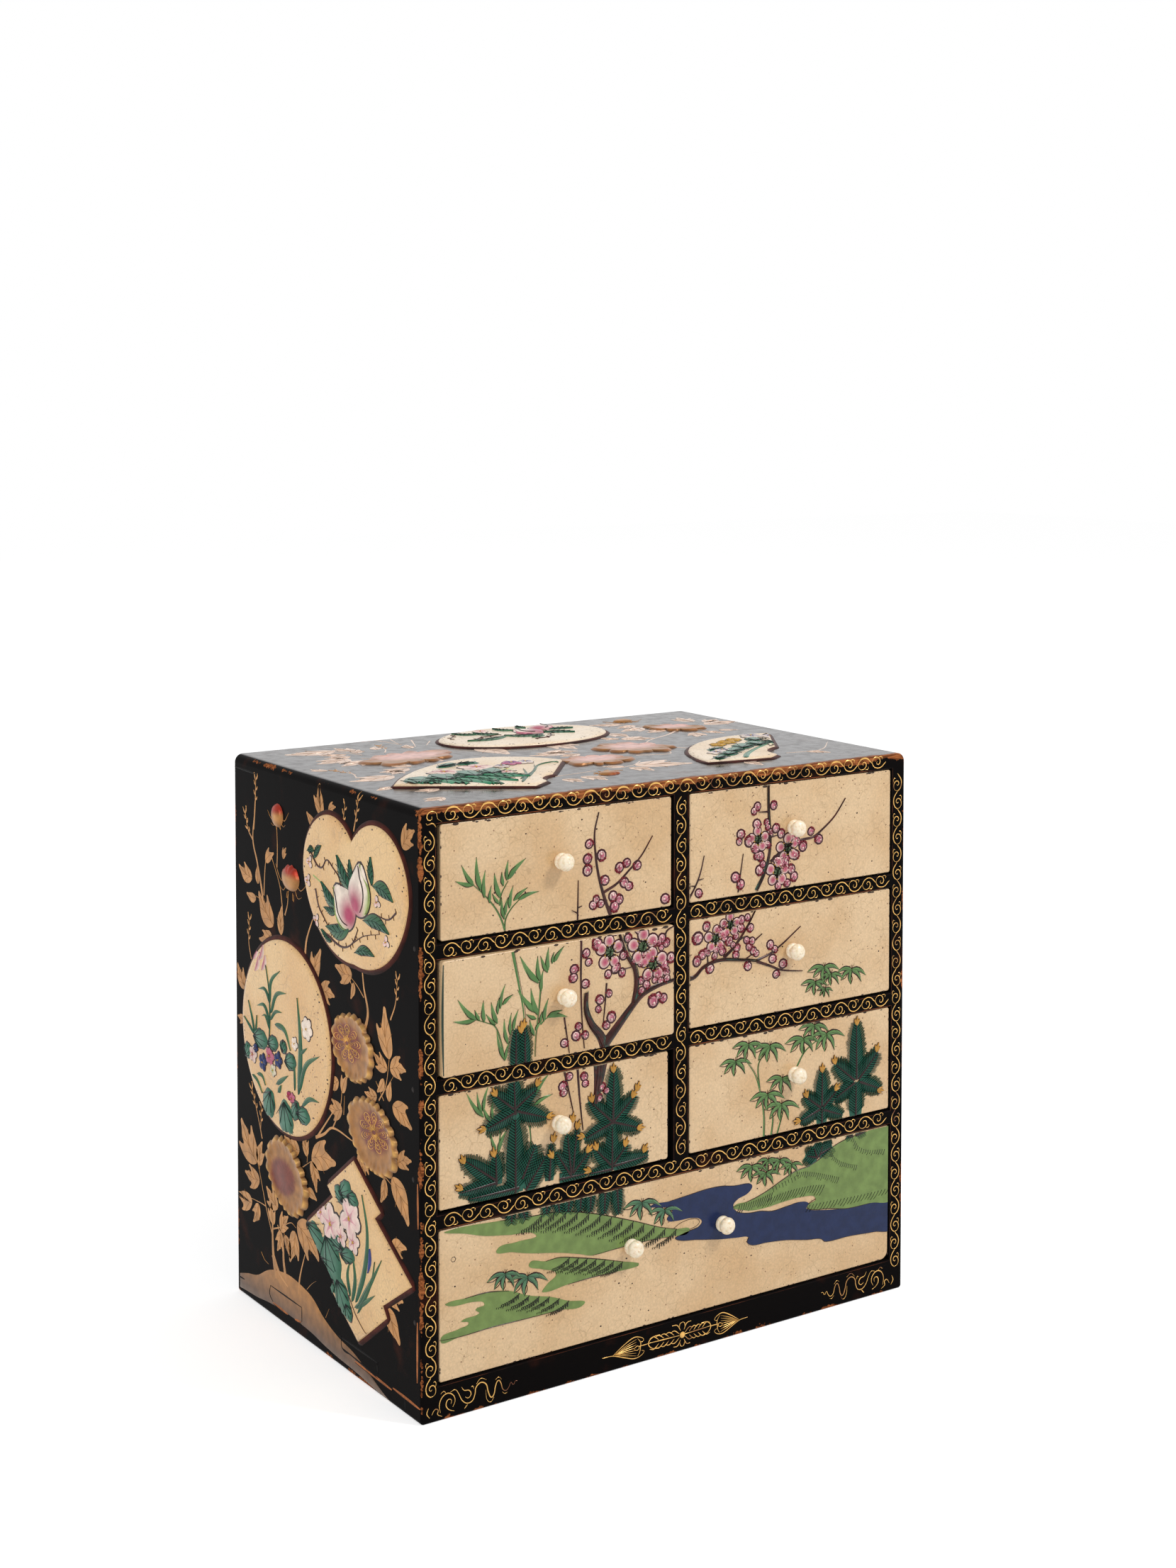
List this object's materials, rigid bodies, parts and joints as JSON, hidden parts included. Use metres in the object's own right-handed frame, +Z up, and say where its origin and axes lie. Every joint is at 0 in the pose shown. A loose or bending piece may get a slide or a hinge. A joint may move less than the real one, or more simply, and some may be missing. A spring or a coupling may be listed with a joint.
{
  "type": "small tansu chest",
  "caption": "Table-top lacquered wooden chest with rows of small sliding drawers over one wide drawer, ceramic drawer faces and turned knobs.",
  "frame": {"origin": "middle of the space the chest fills, knobs included, at the level it stands on", "axes": "+X to the viewer's right along the width, +Y from the drawer fronts to the back, +Z up"},
  "size_m": [0.3128, 0.215, 0.3024],
  "materials": {
    "black_lacquer": "black lacquer over wood, polished, worn brown at the edges, with gold sprinkled decoration",
    "drawer_wood": "plain planed light wood, unvarnished",
    "crackle_glaze": "cream crackled glaze with painted enamel",
    "plaque_ceramic": "cream glazed ceramic with raised enamel, dark red lacquer round the rim",
    "knob_bone": "turned and polished, cream coloured"
  },
  "bodies": {
    "case": {"top_board": "black_lacquer", "bottom_board": "black_lacquer", "left_side": "black_lacquer", "right_side": "black_lacquer", "back_board": "black_lacquer", "bottom_rail": "black_lacquer", "full_shelf": "black_lacquer", "divider": "black_lacquer", "shelf_lower_left": "black_lacquer", "shelf_lower_right": "black_lacquer", "shelf_upper_left": "black_lacquer", "shelf_upper_right": "black_lacquer", "floor_runners": "drawer_wood", "shelf_pegs": "black_lacquer", "plaque_left_peach": "plaque_ceramic", "plaque_left_round": "plaque_ceramic", "plaque_left_cards": "plaque_ceramic", "plaque_right_peach": "plaque_ceramic", "plaque_right_round": "plaque_ceramic", "plaque_right_cards": "plaque_ceramic", "plaque_top_fan_left": "plaque_ceramic", "plaque_top_fan_right": "plaque_ceramic", "plaque_top_oval": "plaque_ceramic"},
    "drawer_top_left": {"drawer_top_left_panel": "crackle_glaze", "drawer_top_left_front": "drawer_wood", "drawer_top_left_walls": "drawer_wood", "drawer_top_left_bottom": "drawer_wood", "drawer_top_left_knob": "knob_bone"},
    "drawer_top_right": {"drawer_top_right_panel": "crackle_glaze", "drawer_top_right_front": "drawer_wood", "drawer_top_right_walls": "drawer_wood", "drawer_top_right_bottom": "drawer_wood", "drawer_top_right_knob": "knob_bone"},
    "drawer_mid_left": {"drawer_mid_left_panel": "crackle_glaze", "drawer_mid_left_front": "drawer_wood", "drawer_mid_left_walls": "drawer_wood", "drawer_mid_left_bottom": "drawer_wood", "drawer_mid_left_knob": "knob_bone"},
    "drawer_mid_right": {"drawer_mid_right_panel": "crackle_glaze", "drawer_mid_right_front": "drawer_wood", "drawer_mid_right_walls": "drawer_wood", "drawer_mid_right_bottom": "drawer_wood", "drawer_mid_right_knob": "knob_bone"},
    "drawer_low_left": {"drawer_low_left_panel": "crackle_glaze", "drawer_low_left_front": "drawer_wood", "drawer_low_left_walls": "drawer_wood", "drawer_low_left_bottom": "drawer_wood", "drawer_low_left_knob": "knob_bone"},
    "drawer_low_right": {"drawer_low_right_panel": "crackle_glaze", "drawer_low_right_front": "drawer_wood", "drawer_low_right_walls": "drawer_wood", "drawer_low_right_bottom": "drawer_wood", "drawer_low_right_knob": "knob_bone"},
    "drawer_wide": {"drawer_wide_panel": "crackle_glaze", "drawer_wide_front": "drawer_wood", "drawer_wide_walls": "drawer_wood", "drawer_wide_bottom": "drawer_wood", "drawer_wide_knob": "knob_bone"}
  },
  "joints": [
    {"name": "top_left_slide", "type": "slide", "parent": "case", "child": "drawer_top_left", "axis": [0, -1, 0], "range_m": [0, 0.15]},
    {"name": "top_right_slide", "type": "slide", "parent": "case", "child": "drawer_top_right", "axis": [0, -1, 0], "range_m": [0, 0.15]},
    {"name": "mid_left_slide", "type": "slide", "parent": "case", "child": "drawer_mid_left", "axis": [0, -1, 0], "range_m": [-0.003, 0.15]},
    {"name": "mid_right_slide", "type": "slide", "parent": "case", "child": "drawer_mid_right", "axis": [0, -1, 0], "range_m": [0, 0.15]},
    {"name": "low_left_slide", "type": "slide", "parent": "case", "child": "drawer_low_left", "axis": [0, -1, 0], "range_m": [0, 0.15]},
    {"name": "low_right_slide", "type": "slide", "parent": "case", "child": "drawer_low_right", "axis": [0, -1, 0], "range_m": [0, 0.15]},
    {"name": "wide_slide", "type": "slide", "parent": "case", "child": "drawer_wide", "axis": [0, -1, 0], "range_m": [0, 0.15]}
  ]
}
